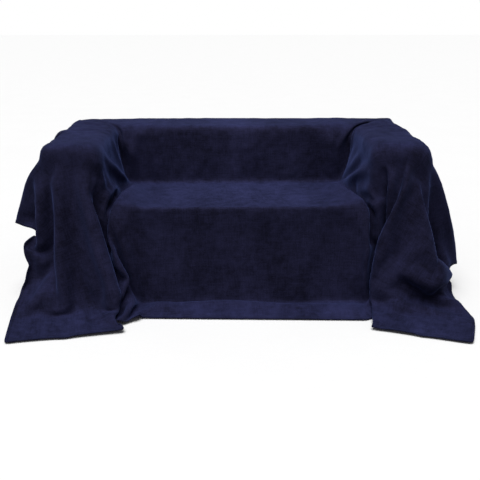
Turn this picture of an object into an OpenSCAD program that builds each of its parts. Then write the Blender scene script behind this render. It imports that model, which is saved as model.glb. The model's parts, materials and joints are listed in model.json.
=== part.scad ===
// Two-seat sofa of bolted units under a large draped throw.
// Frame: +X to the sitter's left-hand side as seen from the front, +Y towards the back, +Z up.
// The origin is on the floor, under the centre support foot.

/* [Sofa] */
// Width of the seat between the arms
seat_w = 1300; // [1200:10:1500]
// Width of one arm
arm_w = 250; // [220:5:280]
// Depth of the whole sofa
sofa_d = 880; // [840:10:920]
// Height of the arms and of the back
top_h = 765; // [740:5:800]
// Height of the seat
seat_h = 455; // [440:5:470]
// Depth of the seat in front of the back cushion
seat_d = 560; // [520:10:580]
// Height of the feet
foot_h = 70; // [60:5:80]

/* [Frame] */
// Thickness of the timber rails
rail_t = 30; // [26:1:34]
// Height of the base rails
rail_h = 180; // [160:5:185]
// Thickness of the plywood boards
ply_t = 18; // [15:1:18]
// Thickness of the hardboard panels
panel_t = 4; // [3:0.5:4]
// Number of seat springs
spring_count = 6; // [5:1:7]
// Number of back webbing straps
strap_count = 6; // [4:1:7]

/* [Upholstery] */
// Thickness of the cover fabric
fabric_t = 2; // [1:0.5:2]
// Thickness of the padding on the sides
pad_side = 15.5; // [12:0.5:15.5]
// Radius of the arms' top edges
arm_r = 35; // [20:1:36]

/* [Throw] */
// Gap between the sofa and the underside of the throw
throw_gap = 2; // [2:0.5:3]
// Thickness that stands for the cloth in the solid
throw_t = 4; // [3:0.5:5]

/* [Hidden] */
$fn = 48;

gap = 0.5;                          // clearance between nested soft layers
half_seat = seat_w / 2;
half_w = half_seat + arm_w;
front_y = -sofa_d / 2;
back_y = sofa_d / 2;
crease_y = front_y + seat_d;        // where the seat meets the back cushion
rail_top = foot_h + rail_h;

// Base frame
rail_front_y = front_y + 20;
rail_rear_y = back_y - 35;
block = 80;                         // legs of a corner block
stretcher_w = 40;
stretcher_drop = 60;                // the stretcher stays this far below the springs

// Springs
wire_r = 1.9;
spring_z = rail_top + 4;
spring_pitch = (seat_w - 250) / (spring_count - 1);
loop_r = 14;                        // radius of a bend of the spring wire
loop_w = 22;                        // length of a straight run across
loop_count = 27;
clip_w = 20;
clip_d = 16;
clip_h = 8;
clip_t = 1.4;
tie_r = 1.5;
tie_y = [-120, 130];

// Seat layers
felt_z = rail_top + 10;
felt_t = 12;
deck_z = felt_z + felt_t;
seat_z = deck_z + fabric_t + 1;
seat_r = 28;

// Back unit
back_front_y = back_y - 112;
post_w = 50;
back_top_rail_t = 35;
back_top_z = top_h - 30;
back_roll_r = 45;
lower_rail_h = 50;
strap_w = 60;

// Arms, drawn for the right-hand side and mirrored for the left
arm_in = half_seat;
arm_out = half_w;
board_in = arm_in + ply_t;
board_out = arm_out - ply_t;
board_y = back_y - 22;
board_top = top_h - 30;

// Feet
foot_r = 26;
foot_tip_r = 20;
glide_t = 3;
stud_r = 4;
stud_z = [40, foot_h + 14];
foot_x = half_w - 125;
foot_y = 370;
foot_places = [[foot_x, foot_y], [-foot_x, foot_y], [foot_x, -foot_y], [-foot_x, -foot_y]];

// Bolts
bolt_r = 4;
bolt_hole_r = 4.5;
washer_r = 10;
washer_t = 2;
head_r = 7.5;
head_t = 5.5;
nut_r = 5;
nut_flange_r = 11;
nut_flange_t = 1.5;
nut_l = 12;
arm_bolt_y = [-300, 0, 300];
arm_bolt_z = foot_h + 80;
back_bolt_z = [foot_h + 50, foot_h + 130];
back_bolt_x = half_seat - rail_t - post_w / 2;

// ---------------------------------------------------------------- helpers

// A box from its low corner to its high corner.
module box(low, high) {
    translate(low) cube(high - low);
}

// A rectangle from low to high with corners of radius r.
module round_rect(low, high, r) {
    translate([low.x + r, low.y]) square([high.x - low.x - 2 * r, high.y - low.y]);
    translate([low.x, low.y + r]) square([high.x - low.x, high.y - low.y - 2 * r]);
    for (x = [low.x + r, high.x - r], y = [low.y + r, high.y - r])
        translate([x, y]) circle(r);
}

// Extrudes a profile drawn in Y and Z along X, from x0 to x1.
module along_x(x0, x1) {
    translate([x0, 0, 0]) rotate([90, 0, 90]) linear_extrude(x1 - x0) children();
}

// Extrudes a profile drawn in X and Z along Y, from y0 to y1.
module along_y(y0, y1) {
    translate([0, y1, 0]) rotate([90, 0, 0]) linear_extrude(y1 - y0) children();
}

// A round bar along X, Y or Z from a point.
module bar_x(p, l, r) { translate(p) rotate([0, 90, 0]) cylinder(h = l, r = r); }
module bar_y(p, l, r) { translate(p) rotate([-90, 0, 0]) cylinder(h = l, r = r); }
module bar_z(p, l, r) { translate(p) cylinder(h = l, r = r); }

// Draws its children on one side of the sofa: 1 is +X, -1 is -X.
module on_side(side) {
    if (side > 0) children();
    else mirror([1, 0, 0]) children();
}

// ---------------------------------------------------------------- base frame

module base_front_rail() {
    color("burlywood") box([-half_seat + rail_t, rail_front_y, foot_h],
                           [half_seat - rail_t, rail_front_y + rail_t, rail_top]);
}

module base_rear_rail() {
    color("burlywood") difference() {
        box([-half_seat + rail_t, rail_rear_y - rail_t, foot_h],
            [half_seat - rail_t, rail_rear_y, rail_top]);
        for (x = [-back_bolt_x, back_bolt_x], z = back_bolt_z)
            bar_y([x, rail_rear_y - rail_t - 1, z], rail_t + 2, nut_r + 0.05);
    }
}

module base_side_rail(side) {
    color("burlywood") on_side(side) difference() {
        box([half_seat - rail_t, rail_front_y, foot_h], [half_seat, rail_rear_y, rail_top]);
        for (y = arm_bolt_y)
            bar_x([half_seat - rail_t - 1, y, arm_bolt_z], rail_t + 2, bolt_hole_r);
    }
}

module centre_stretcher() {
    color("burlywood") difference() {
        box([-stretcher_w / 2, rail_front_y + rail_t, foot_h],
            [stretcher_w / 2, rail_rear_y - rail_t, rail_top - stretcher_drop]);
        bar_z([0, 0, foot_h - 1], stud_z[1] - foot_h + 2, stud_r + 0.05);
    }
}

// Four triangular blocks glued in the corners of the base frame.
module corner_blocks() {
    x = half_seat - rail_t;
    y0 = rail_front_y + rail_t;
    y1 = rail_rear_y - rail_t;
    x1 = x - post_w;
    color("tan") for (side = [-1, 1]) on_side(side) translate([0, 0, foot_h + 10])
        linear_extrude(rail_h - 60) {
            polygon([[x, y0], [x - block, y0], [x, y0 + block]]);
            polygon([[x1, y1], [x1 - block, y1], [x1, y1 - block]]);
        }
}

// ---------------------------------------------------------------- seat springs

// One sinuous spring: straight runs across X joined by half-round bends, along Y.
module sinuous_spring() {
    y0 = rail_front_y + rail_t - clip_d / 2;
    step = 2 * loop_r;
    for (i = [0 : loop_count - 1])
        bar_x([-loop_w / 2, y0 + i * step, 0], loop_w, wire_r, $fn = 16);
    for (i = [0 : loop_count - 2])
        translate([(i % 2 == 0 ? 1 : -1) * loop_w / 2, y0 + (i + 0.5) * step, 0])
            rotate([0, 0, i % 2 == 0 ? -90 : 90])
                rotate_extrude(angle = 180) translate([loop_r, 0]) circle(wire_r, $fn = 16);
}

module seat_springs() {
    color("slategray") for (i = [0 : spring_count - 1])
        translate([(i - (spring_count - 1) / 2) * spring_pitch, 0, spring_z])
            sinuous_spring();
}

// A folded steel clip that holds the end of a spring on a rail, open towards the spring.
module spring_clip() {
    along_x(-clip_w / 2, clip_w / 2) difference() {
        translate([-clip_d / 2, 0]) square([clip_d, clip_h]);
        translate([-clip_d / 2 + clip_t, clip_t]) square([clip_d, clip_h - 2 * clip_t]);
    }
}

module spring_clips() {
    front = rail_front_y + rail_t - clip_d / 2;
    rear = front + (loop_count - 1) * 2 * loop_r;
    color("silver") for (i = [0 : spring_count - 1]) {
        x = (i - (spring_count - 1) / 2) * spring_pitch;
        translate([x, front, rail_top]) spring_clip();
        translate([x, rear, rail_top]) mirror([0, 1, 0]) spring_clip();
    }
}

module spring_tie_wires() {
    reach = (spring_count - 1) / 2 * spring_pitch + loop_w / 2 + loop_r;
    color("silver") for (y = tie_y)
        bar_x([-reach, y, spring_z + wire_r + tie_r + 0.2], 2 * reach, tie_r, $fn = 16);
}

// ---------------------------------------------------------------- seat layers

module front_edge_roll() {
    color("wheat") box([-half_seat + rail_t, rail_front_y, rail_top],
                       [half_seat - rail_t, rail_front_y + 13, felt_z]);
}

module seat_felt() {
    color("dimgray") box([-half_seat + 5, rail_front_y, felt_z],
                         [half_seat - 5, back_front_y - 3, deck_z]);
}

module deck_cloth() {
    color("black") box([-half_seat + 5, rail_front_y, deck_z],
                       [half_seat - 5, back_front_y - 3, deck_z + fabric_t]);
}

module base_front_padding() {
    color("ivory") box([-half_seat + 2, front_y + fabric_t + gap, foot_h + 6],
                       [half_seat - 2, rail_front_y - gap, rail_top]);
}

module base_front_cover() {
    color("lightgray") box([-half_seat + 1, front_y, foot_h + 2],
                           [half_seat - 1, front_y + fabric_t, rail_top + 8]);
}

module dust_cover() {
    color("black") difference() {
        box([-arm_out + 5, front_y + 4, foot_h - fabric_t], [arm_out - 5, back_y - 4, foot_h]);
        for (p = concat(foot_places, [[0, 0]]))
            bar_z([p.x, p.y, foot_h - fabric_t - 1], fabric_t + 2, foot_r + 1);
    }
}

// A boxed cushion cover with a hollow for its filling, round along its long edges.
module cushion_cover(low, high, r) {
    t = fabric_t;
    difference() {
        along_x(low.x, high.x) round_rect([low.y, low.z], [high.y, high.z], r);
        along_x(low.x + t, high.x - t)
            round_rect([low.y + t, low.z + t], [high.y - t, high.z - t], r - t);
    }
}

module cushion_filling(low, high, r) {
    t = fabric_t + gap;
    along_x(low.x + t, high.x - t)
        round_rect([low.y + t, low.z + t], [high.y - t, high.z - t], r - t);
}

seat_low = [-half_seat + 6, front_y + 2, seat_z];
seat_high = [half_seat - 6, back_front_y - 3, seat_h];
back_low = [-half_seat + 6, crease_y, seat_h + 2];
back_high = [half_seat - 6, back_front_y - 1, top_h - 2];

module seat_cushion_foam() { color("lemonchiffon") cushion_filling(seat_low, seat_high, seat_r); }
module seat_cushion_cover() { color("lightgray") cushion_cover(seat_low, seat_high, seat_r); }
module back_cushion_filling() { color("white") cushion_filling(back_low, back_high, back_roll_r); }
module back_cushion_cover() { color("lightgray") cushion_cover(back_low, back_high, back_roll_r); }

// ---------------------------------------------------------------- back unit

module back_posts() {
    y1 = rail_rear_y - rail_t;
    color("burlywood") for (side = [-1, 1]) on_side(side) difference() {
        box([half_seat - rail_t - post_w, y1 - rail_t, foot_h + 20],
            [half_seat - rail_t, y1, back_top_z - back_top_rail_t]);
        for (z = back_bolt_z)
            bar_y([back_bolt_x, y1 - rail_t - 1, z], rail_t + 2, bolt_hole_r);
    }
}

module back_top_rail() {
    color("burlywood") box(
        [-half_seat + rail_t, rail_rear_y - 2 * rail_t, back_top_z - back_top_rail_t],
        [half_seat - rail_t, rail_rear_y, back_top_z]);
}

module back_lower_rail() {
    y1 = rail_rear_y - rail_t;
    color("burlywood") box(
        [-half_seat + rail_t + post_w, y1 - rail_t, rail_top + 12],
        [half_seat - rail_t - post_w, y1, rail_top + 12 + lower_rail_h]);
}

// Elastic straps stretched from the lower rail to the top rail.
module back_webbing() {
    y1 = rail_rear_y - 2 * rail_t;
    pitch = (seat_w - 200) / strap_count;
    color("darkslategray") for (i = [0 : strap_count - 1])
        translate([(i - (strap_count - 1) / 2) * pitch, 0, 0])
            box([-strap_w / 2, y1 - fabric_t, rail_top + 30],
                [strap_w / 2, y1, back_top_z - 6]);
}

module back_rear_panel() {
    color("peru") box([-half_seat + rail_t, rail_rear_y, rail_top - 18],
                      [half_seat - rail_t, rail_rear_y + panel_t, back_top_z]);
}

// Padding folded over the top of the back frame, and behind the base at the rear.
module back_padding() {
    low_z = deck_z + fabric_t + 6;
    inset = fabric_t + gap;
    room = fabric_t + 2 * gap;
    color("ivory") along_x(-half_seat + 6, half_seat - 6) difference() {
        union() {
            translate([back_front_y + inset, low_z])
                square([back_y - back_front_y - 2 * inset, top_h - inset - low_z]);
            translate([rail_rear_y + panel_t + gap, foot_h + 6])
                square([back_y - inset - rail_rear_y - panel_t - gap, low_z - foot_h]);
        }
        translate([rail_rear_y - 2 * rail_t - room, low_z - 1])
            square([2 * rail_t + room + panel_t + gap, back_top_z + gap - low_z + 1]);
    }
}

// Fabric over the back: front above the deck, ends, top, and the rear down to the base.
module back_cover() {
    low_z = deck_z + fabric_t + 4;
    t = fabric_t;
    color("lightgray") difference() {
        union() {
            box([-half_seat + 2, back_front_y, low_z], [half_seat - 2, back_y, top_h]);
            box([-half_seat + 2, back_y - t, foot_h + 2], [half_seat - 2, back_y, low_z + 1]);
        }
        box([-half_seat + 2 + t, back_front_y + t, low_z - 1],
            [half_seat - 2 - t, back_y - t, top_h - t]);
    }
}

// ---------------------------------------------------------------- arms

module arm_bottom_board(side) {
    color("tan") on_side(side) difference() {
        box([board_in, -board_y, foot_h], [board_out, board_y, foot_h + ply_t]);
        for (y = [-foot_y, foot_y])
            bar_z([foot_x, y, foot_h - 1], ply_t + 2, stud_r + 0.05);
    }
}

// Front, middle and rear plywood walls of an arm.
module arm_bulkheads(side) {
    hole_r = 70;
    color("tan") on_side(side)
        for (y = [-board_y, -ply_t / 2, board_y - ply_t]) difference() {
            box([board_in + panel_t, y, foot_h + ply_t],
                [board_out - panel_t, y + ply_t, board_top - ply_t]);
            if (y > -board_y && y < 0)
                bar_y([(board_in + board_out) / 2, y - 1, (foot_h + board_top) / 2],
                      ply_t + 2, hole_r);
        }
}

module arm_top_board(side) {
    color("tan") on_side(side)
        box([board_in + panel_t, -board_y, board_top - ply_t],
            [board_out - panel_t, board_y, board_top]);
}

module arm_inner_panel(side) {
    color("peru") on_side(side)
        box([board_in, -board_y, rail_top + 2], [board_in + panel_t, board_y, board_top]);
}

module arm_outer_panel(side) {
    color("peru") on_side(side)
        box([board_out - panel_t, -board_y, foot_h + ply_t], [board_out, board_y, board_top]);
}

// Plywood cleat on the inside of an arm, which bolts to the base.
module arm_cleat(side) {
    color("burlywood") on_side(side) difference() {
        box([arm_in, rail_front_y, foot_h], [board_in, rail_rear_y, rail_top]);
        for (y = arm_bolt_y) bar_x([arm_in - 1, y, arm_bolt_z], ply_t + 2, nut_r + 0.05);
    }
}

// The outline of an arm in X and Z, taken in by some distance on every side.
module arm_outline(inset, low_z) {
    r = arm_r - inset;
    x0 = arm_in + inset;
    x1 = arm_out - inset;
    top = top_h - inset;
    translate([x0, low_z]) square([x1 - x0, top - r - low_z]);
    translate([x0 + r, low_z]) square([x1 - x0 - 2 * r, top - low_z]);
    for (x = [x0 + r, x1 - r]) translate([x, top - r]) circle(r);
}

// Cuts away the inner wall of a soft arm layer where the cleat meets the base.
module cleat_room() {
    box([arm_in - 1, -back_y - 1, 0], [board_in + gap, back_y + 1, rail_top + 1]);
}

module arm_padding(side) {
    inset = fabric_t + gap;
    color("ivory") on_side(side) difference() {
        along_y(front_y + inset, back_y - inset) arm_outline(inset, foot_h + 4);
        box([board_in - gap, -board_y - gap, 0],
            [board_out + gap, board_y + gap, board_top + gap]);
        cleat_room();
    }
}

module arm_cover(side) {
    color("lightgray") on_side(side) difference() {
        along_y(front_y, back_y) arm_outline(0, foot_h + 2);
        along_y(front_y + fabric_t, back_y - fabric_t) arm_outline(fabric_t, 0);
        cleat_room();
    }
}

// ---------------------------------------------------------------- feet

module foot() {
    difference() {
        translate([0, 0, glide_t]) cylinder(h = foot_h - glide_t, r1 = foot_tip_r, r2 = foot_r);
        bar_z([0, 0, stud_z[0]], foot_h, stud_r + 0.05);
    }
}

module corner_feet() {
    color("saddlebrown") for (p = foot_places) translate([p.x, p.y, 0]) foot();
}

module centre_foot() { color("saddlebrown") foot(); }

module foot_studs() {
    color("silver") for (p = concat(foot_places, [[0, 0]]))
        bar_z([p.x, p.y, stud_z[0]], stud_z[1] - stud_z[0], stud_r);
}

module foot_glides() {
    color("dimgray") for (p = concat(foot_places, [[0, 0]]))
        bar_z([p.x, p.y, 0], glide_t, foot_tip_r - 1);
}

// ---------------------------------------------------------------- fasteners

// A hexagon bolt along +Z, its head under the origin.
module bolt(length) {
    translate([0, 0, -head_t]) cylinder(h = head_t, r = head_r, $fn = 6);
    cylinder(h = length, r = bolt_r);
}

module washer() {
    difference() {
        cylinder(h = washer_t, r = washer_r);
        translate([0, 0, -1]) cylinder(h = washer_t + 2, r = bolt_r + 0.3);
    }
}

// A T-nut, its flange above the origin and its barrel below.
module t_nut() {
    difference() {
        union() {
            cylinder(h = nut_flange_t, r = nut_flange_r);
            translate([0, 0, -nut_l]) cylinder(h = nut_l + 0.5, r = nut_r);
        }
        translate([0, 0, -nut_l - 1]) cylinder(h = nut_l + nut_flange_t + 2, r = bolt_r + 0.05);
    }
}

// Places children at each arm bolt, +Z of the child pointing outwards along X from x.
module at_arm_bolts(x) {
    for (side = [-1, 1]) on_side(side)
        for (y = arm_bolt_y) translate([x, y, arm_bolt_z]) rotate([0, 90, 0]) children();
}

// Places children at each back bolt, +Z of the child pointing back along Y from y.
module at_back_bolts(y) {
    for (x = [-back_bolt_x, back_bolt_x], z = back_bolt_z)
        translate([x, y, z]) rotate([-90, 0, 0]) children();
}

arm_bolt_x = half_seat - rail_t - washer_t;
back_bolt_y = rail_rear_y - 2 * rail_t - washer_t;

module arm_bolts() {
    color("gray") at_arm_bolts(arm_bolt_x) bolt(washer_t + rail_t + ply_t + 3);
}
module arm_bolt_washers() { color("silver") at_arm_bolts(arm_bolt_x) washer(); }
module arm_t_nuts() { color("silver") at_arm_bolts(board_in) t_nut(); }
module back_bolts() {
    color("gray") at_back_bolts(back_bolt_y) bolt(washer_t + 2 * rail_t + 3);
}
module back_bolt_washers() { color("silver") at_back_bolts(back_bolt_y) washer(); }
module back_t_nuts() { color("silver") at_back_bolts(rail_rear_y) t_nut(); }

// ---------------------------------------------------------------- throw

// The cloth is a grid of stations: columns run across the sofa from the left hem to the
// right hem, rows run from the front hem over the sofa to the back hem. A station is a
// point on the sofa or on the floor and the direction in which the skins leave it.
function at(p, away) = [p, away];
function on_floor(x, y, away = [0, 0, 1]) = at([x, y, -throw_gap], away);
function hangs(x, y, z, away) = at([x, y, z], away);

// A row across the top: y on the arms, then y and z between them. The middle columns
// stand in by tuck from the inner arm edges.
function top_row(y_arm, y_mid, z_mid, dy, tuck) = [
    at([-half_w, y_arm, top_h], [-1, dy, 1]),
    at([-half_seat, y_arm, top_h], [1, dy, 1]),
    at([-half_seat + tuck, y_mid, z_mid], [1, dy, 1]),
    at([0, y_mid, z_mid], [0, dy, 1]),
    at([half_seat - tuck, y_mid, z_mid], [-1, dy, 1]),
    at([half_seat, y_arm, top_h], [-1, dy, 1]),
    at([half_w, y_arm, top_h], [1, dy, 1])
];

back_tuck = 60;                     // the folds beside the back cushion are this wide
out = [0, -1, 0];
foot_line = [0, -1, 1];
cloth = [
    [on_floor(-1005, -885), on_floor(-900, -870), on_floor(-715, -845), on_floor(-510, -795),
     on_floor(-515, -655), on_floor(0, -665), on_floor(600, -690), on_floor(590, -780),
     on_floor(800, -860), on_floor(910, -895), on_floor(1005, -930)],
    [hangs(-1045, -660, 30, [-1, 0, 0]), on_floor(-900, -800, foot_line),
     on_floor(-715, -770, foot_line), on_floor(-525, -725, [1, -1, 1]),
     on_floor(-540, -575, [1, -1, 1]), on_floor(0, -580, foot_line),
     on_floor(635, -590, [-1, -1, 1]), on_floor(610, -710, [-1, -1, 1]),
     on_floor(800, -785, foot_line), on_floor(950, -820, foot_line), on_floor(1095, -710)],
    [hangs(-1000, -550, 240, [-1, 0, 0]), hangs(-935, -590, 330, [-1, -1, 0]),
     hangs(-810, -570, 385, out), hangs(-610, -550, 380, [1, -1, 0]),
     hangs(-585, -500, 225, [1, -1, 0]), hangs(0, -495, 225, out),
     hangs(640, -505, 225, [-1, -1, 0]), hangs(665, -540, 380, [-1, -1, 0]),
     hangs(870, -570, 385, out), hangs(980, -570, 330, [1, -1, 0]),
     hangs(1060, -520, 160, [1, 0, 0])],
    concat([hangs(-1030, -420, 430, [-1, 0, 0]), hangs(-960, -450, 600, [-1, -1, 0])],
           top_row(front_y, front_y, seat_h, -1, 0),
           [hangs(970, -450, 560, [1, -1, 0]), hangs(1080, -420, 300, [1, 0, 0])]),
    concat([hangs(-1030, 120, 120, [-1, 0, 0]), hangs(-980, 130, 420, [-1, 0, 0])],
           top_row(crease_y, crease_y, seat_h, -1, 0),
           [hangs(990, 120, 380, [1, 0, 0]), on_floor(1110, 130, [1, 0, 1])]),
    concat([hangs(-1045, 190, 80, [-1, 0, 0]), hangs(-990, 190, 400, [-1, 0, 0])],
           [for (i = [0 : 6]) let (arm = i < 2 || i > 4)
            arm ? top_row(crease_y + 40, 0, 0, 0, 0)[i]
                : top_row(0, crease_y, top_h, -1, back_tuck)[i]],
           [hangs(1000, 200, 370, [1, 0, 0]), on_floor(1130, 210, [1, 0, 1])]),
    concat([on_floor(-1090, 430, [-1, 0, 1]), hangs(-990, 470, 400, [-1, 1, 0])],
           top_row(back_y, back_y, top_h, 1, back_tuck),
           [hangs(1010, 470, 360, [1, 1, 0]), on_floor(1180, 430, [1, 0, 1])]),
    [on_floor(-1130, 570), hangs(-1010, 540, 330, [-1, 1, 0]), hangs(-930, 500, 390, [0, 1, 0]),
     hangs(-650, 480, 390, [0, 1, 0]), hangs(-590, 480, 390, [0, 1, 0]),
     hangs(0, 480, 390, [0, 1, 0]), hangs(590, 480, 390, [0, 1, 0]),
     hangs(650, 480, 390, [0, 1, 0]), hangs(930, 510, 390, [0, 1, 0]),
     hangs(1030, 560, 300, [1, 1, 0]), on_floor(1215, 580)],
    [on_floor(-1140, 680), on_floor(-1040, 630, [0, 1, 1]), on_floor(-920, 550, [0, 1, 1]),
     on_floor(-650, 510, [0, 1, 1]), on_floor(-590, 510, [0, 1, 1]), on_floor(0, 510, [0, 1, 1]),
     on_floor(590, 510, [0, 1, 1]), on_floor(650, 510, [0, 1, 1]), on_floor(930, 560, [0, 1, 1]),
     on_floor(1080, 680, [0, 1, 1]), on_floor(1220, 740)],
    [on_floor(-1130, 800), on_floor(-1010, 740), on_floor(-900, 630), on_floor(-650, 580),
     on_floor(-590, 580), on_floor(0, 580), on_floor(590, 580), on_floor(650, 580),
     on_floor(900, 640), on_floor(1060, 790), on_floor(1210, 880)]
];

columns = len(cloth[0]);
count = len(cloth) * columns;
function skin(o) = [for (row = cloth) for (s = row) s[0] + s[1] * o];

// Two triangles for the cell with its low corner at column i and row j. The diagonals
// mirror about the middle column, so that they follow the folds on both sides.
function cell(i, j) = let (a = j * columns + i, b = a + 1, c = b + columns, d = a + columns)
    i < (columns - 1) / 2 ? [[a, d, c], [a, c, b]] : [[a, d, b], [b, d, c]];
function flip(t) = [t[0] + count, t[2] + count, t[1] + count];
tiles = [for (j = [0 : len(cloth) - 2]) for (i = [0 : columns - 2]) each cell(i, j)];

// The stations around the hem, in order, and the band that closes the two skins.
hem = concat(
    [for (i = [0 : columns - 2]) i],
    [for (j = [0 : len(cloth) - 2]) j * columns + columns - 1],
    [for (i = [columns - 1 : -1 : 1]) count - columns + i],
    [for (j = [len(cloth) - 1 : -1 : 1]) j * columns]
);
band = [for (k = [0 : len(hem) - 1]) let (a = hem[k], b = hem[(k + 1) % len(hem)])
        each [[a, b, b + count], [a, b + count, a + count]]];

module throw() {
    color("midnightblue") polyhedron(
        points = concat(skin(throw_gap + throw_t), skin(throw_gap)),
        faces = concat(tiles, [for (t = tiles) flip(t)], band));
}

// ---------------------------------------------------------------- build

base_front_rail();
base_rear_rail();
base_side_rail(-1);  // base_left_rail
base_side_rail(1);  // base_right_rail
centre_stretcher();
corner_blocks();
seat_springs();
spring_clips();
spring_tie_wires();
front_edge_roll();
seat_felt();
deck_cloth();
base_front_padding();
base_front_cover();
dust_cover();
seat_cushion_foam();
seat_cushion_cover();
back_posts();
back_top_rail();
back_lower_rail();
back_webbing();
back_rear_panel();
back_padding();
back_cover();
back_cushion_filling();
back_cushion_cover();
arm_bottom_board(-1);  // left_arm_bottom_board
arm_bulkheads(-1);  // left_arm_bulkheads
arm_top_board(-1);  // left_arm_top_board
arm_inner_panel(-1);  // left_arm_inner_panel
arm_outer_panel(-1);  // left_arm_outer_panel
arm_cleat(-1);  // left_arm_cleat
arm_padding(-1);  // left_arm_padding
arm_cover(-1);  // left_arm_cover
arm_bottom_board(1);  // right_arm_bottom_board
arm_bulkheads(1);  // right_arm_bulkheads
arm_top_board(1);  // right_arm_top_board
arm_inner_panel(1);  // right_arm_inner_panel
arm_outer_panel(1);  // right_arm_outer_panel
arm_cleat(1);  // right_arm_cleat
arm_padding(1);  // right_arm_padding
arm_cover(1);  // right_arm_cover
corner_feet();
centre_foot();
foot_studs();
foot_glides();
arm_bolts();
arm_bolt_washers();
arm_t_nuts();
back_bolts();
back_bolt_washers();
back_t_nuts();
throw();
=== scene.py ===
"""A two-seat sofa under a large draped suede throw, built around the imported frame.

The throw is cut flat, laid over the sofa and let fall by a cloth simulation while a few
points are held where hands arranged them. Under it is the whole upholstered sofa, which
shows when the throw is lifted. Lengths are metres: +X right, +Y to the back, +Z up.
"""

from __future__ import annotations

import json
import logging
import math
from collections.abc import Iterable, Sequence
from dataclasses import dataclass, field
from enum import Enum

import bmesh
import bpy
import numpy as np
from mathutils import Matrix, Vector, noise
from mathutils.bvhtree import BVHTree

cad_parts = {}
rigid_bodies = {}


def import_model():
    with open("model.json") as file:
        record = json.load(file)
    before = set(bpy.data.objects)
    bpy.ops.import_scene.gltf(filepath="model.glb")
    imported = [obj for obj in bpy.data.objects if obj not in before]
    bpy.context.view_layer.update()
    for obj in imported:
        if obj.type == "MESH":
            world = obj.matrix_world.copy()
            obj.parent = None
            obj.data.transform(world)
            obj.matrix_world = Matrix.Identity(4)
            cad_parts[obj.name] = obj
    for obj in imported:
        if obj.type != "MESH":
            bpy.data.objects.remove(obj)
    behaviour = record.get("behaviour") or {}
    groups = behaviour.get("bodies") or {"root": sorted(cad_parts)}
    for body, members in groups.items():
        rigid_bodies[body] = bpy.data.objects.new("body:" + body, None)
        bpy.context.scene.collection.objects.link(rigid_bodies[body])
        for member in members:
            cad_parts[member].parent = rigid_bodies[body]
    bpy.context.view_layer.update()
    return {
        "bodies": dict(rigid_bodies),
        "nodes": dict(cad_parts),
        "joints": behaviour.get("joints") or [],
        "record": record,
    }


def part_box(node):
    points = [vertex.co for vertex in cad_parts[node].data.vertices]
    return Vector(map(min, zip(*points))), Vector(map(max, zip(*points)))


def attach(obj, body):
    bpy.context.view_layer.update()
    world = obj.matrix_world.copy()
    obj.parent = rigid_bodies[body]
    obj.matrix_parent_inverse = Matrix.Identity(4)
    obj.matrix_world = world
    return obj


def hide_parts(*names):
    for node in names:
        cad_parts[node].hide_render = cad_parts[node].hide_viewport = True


LOG = logging.getLogger("dressed_sofa")

Point = tuple[float, float, float]
Rgb = tuple[float, float, float]
CLOTH_UV = "cut"


# --------------------------------------------------------------------- measures


@dataclass(frozen=True)
class SofaSpace:
    """The faces of the sofa that the cloth and the upholstery are made to."""

    arm_out: float
    arm_in: float
    front: float
    back: float
    crease: float
    seat_top: float
    top: float
    skirt_low: float

    @classmethod
    def from_frame(cls) -> SofaSpace:
        """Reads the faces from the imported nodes.

        Returns:
            The measured sofa.
        """
        arm_low, arm_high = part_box("right_arm_cover")
        _, seat_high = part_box("seat_cushion_cover")
        back_low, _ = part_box("back_cushion_cover")
        return cls(
            arm_out=arm_high.x,
            arm_in=arm_low.x,
            front=arm_low.y,
            back=arm_high.y,
            crease=back_low.y,
            seat_top=seat_high.z,
            top=arm_high.z,
            skirt_low=arm_low.z,
        )


# --------------------------------------------------------------------- node graphs


class Graph:
    """A short way to write a node tree."""

    def __init__(self, tree: bpy.types.NodeTree) -> None:
        """Starts from an empty tree.

        Args:
            tree: the tree to fill.
        """
        self.tree = tree
        tree.nodes.clear()

    def add(self, kind: str, **values: object) -> bpy.types.Node:
        """Adds a node and sets its inputs.

        Args:
            kind: the node's type name without its ShaderNode prefix.
            values: node properties in lower case, or input sockets as in_NAME.

        Returns:
            The new node.
        """
        prefix = "" if kind.startswith("Node") else "ShaderNode"
        node = self.tree.nodes.new(prefix + kind)
        for key, value in values.items():
            if key.startswith("in_"):
                name = key[3:].replace("_", " ")
                socket = node.inputs[int(name)] if name.isdigit() else node.inputs[name]
                if isinstance(value, bpy.types.NodeSocket):
                    self.tree.links.new(value, socket)
                else:
                    socket.default_value = value
            else:
                setattr(node, key, value)
        return node

    def math(self, operation: str, a: object, b: object = 0.0, clamp: bool = False) -> bpy.types.NodeSocket:
        """Adds a Math node.

        Args:
            operation: the Math node's operation.
            a: first number or socket.
            b: second number or socket.
            clamp: whether the result stays between 0 and 1.

        Returns:
            The result's socket.
        """
        return self.add("Math", operation=operation, use_clamp=clamp, in_0=a, in_1=b).outputs[0]

    def mix(self, factor: object, a: object, b: object) -> bpy.types.NodeSocket:
        """Mixes two colours.

        Args:
            factor: the share of the second colour.
            a: first colour or socket.
            b: second colour or socket.

        Returns:
            The mixed colour's socket.
        """
        node = self.add("Mix", data_type="RGBA")
        for index, value in ((0, factor), (6, a), (7, b)):
            socket = node.inputs[index]
            if isinstance(value, bpy.types.NodeSocket):
                self.tree.links.new(value, socket)
            elif index == 0:
                socket.default_value = value
            else:
                socket.default_value = (*value, 1.0)
        return node.outputs[2]

    def spread(self, value: object, low: float, high: float, to_low: float, to_high: float) -> bpy.types.NodeSocket:
        """Maps a value from one range to another.

        Args:
            value: the socket to map.
            low: start of the range that comes in.
            high: end of the range that comes in.
            to_low: start of the range that goes out.
            to_high: end of the range that goes out.

        Returns:
            The mapped value's socket.
        """
        node = self.add("MapRange", in_0=value, in_1=low, in_2=high, in_3=to_low, in_4=to_high)
        return node.outputs[0]


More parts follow.
